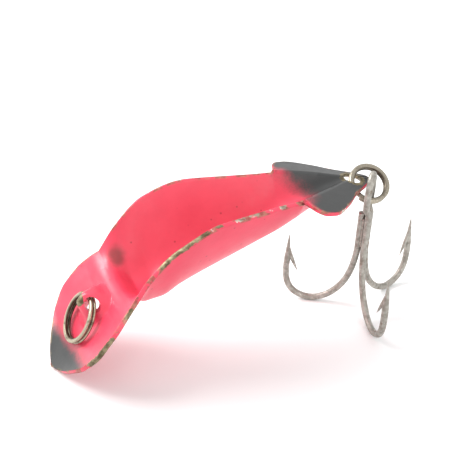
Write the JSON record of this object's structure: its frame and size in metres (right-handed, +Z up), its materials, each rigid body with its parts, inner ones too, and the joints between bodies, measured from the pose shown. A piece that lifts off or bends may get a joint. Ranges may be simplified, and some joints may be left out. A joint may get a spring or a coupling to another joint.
{
  "type": "trolling spoon lure",
  "caption": "Stamped sheet-metal trolling lure with a bent nose plate, deep trough body, eared tail, raised line-tie boss, split rings and a treble hook",
  "frame": {"origin": "middle of the bottom of the whole object's box, on the surface that it stands on", "axes": "+Z up; the lure lies along X with its nose towards -X and its tail and hook towards +X; Y is across it"},
  "size_m": [0.0704, 0.028, 0.0278],
  "materials": {
    "body_paint": "glossy fluorescent pink-red enamel on brass, black overspray at nose and tail, edges chipped to brass",
    "ring_brass": "tarnished brass with worn bright spots",
    "ring_nickel": "worn nickel plating over brass",
    "hook_wire": "dull tinned steel, pitted, with faint rust specks",
    "hook_braze": "dull rough brazing metal"
  },
  "bodies": {
    "lure_body": {"lure_body": "body_paint"},
    "line_tie_ring": {"line_tie_ring": "ring_brass"},
    "tail_ring": {"tail_ring": "ring_nickel"},
    "treble_hook": {"double_hook": "hook_wire", "single_hook": "hook_wire", "hook_braze": "hook_braze"}
  },
  "joints": [
    {"name": "line_tie_swing", "type": "hinge", "parent": "lure_body", "child": "line_tie_ring", "pos_m": [-0.02752, 0.00328, 0.01237], "axis": [0, 1, 0], "range_deg": [0, 140]},
    {"name": "tail_ring_swing", "type": "hinge", "parent": "lure_body", "child": "tail_ring", "pos_m": [0.02059, 0.00328, 0.02472], "axis": [0, 1, 0], "range_deg": [-38, 4]},
    {"name": "hook_swing", "type": "hinge", "parent": "tail_ring", "child": "treble_hook", "pos_m": [0.02199, -0.00044, 0.02182], "axis": [0.9177, -0.3219, -0.2329], "range_deg": [-7, 70]}
  ]
}
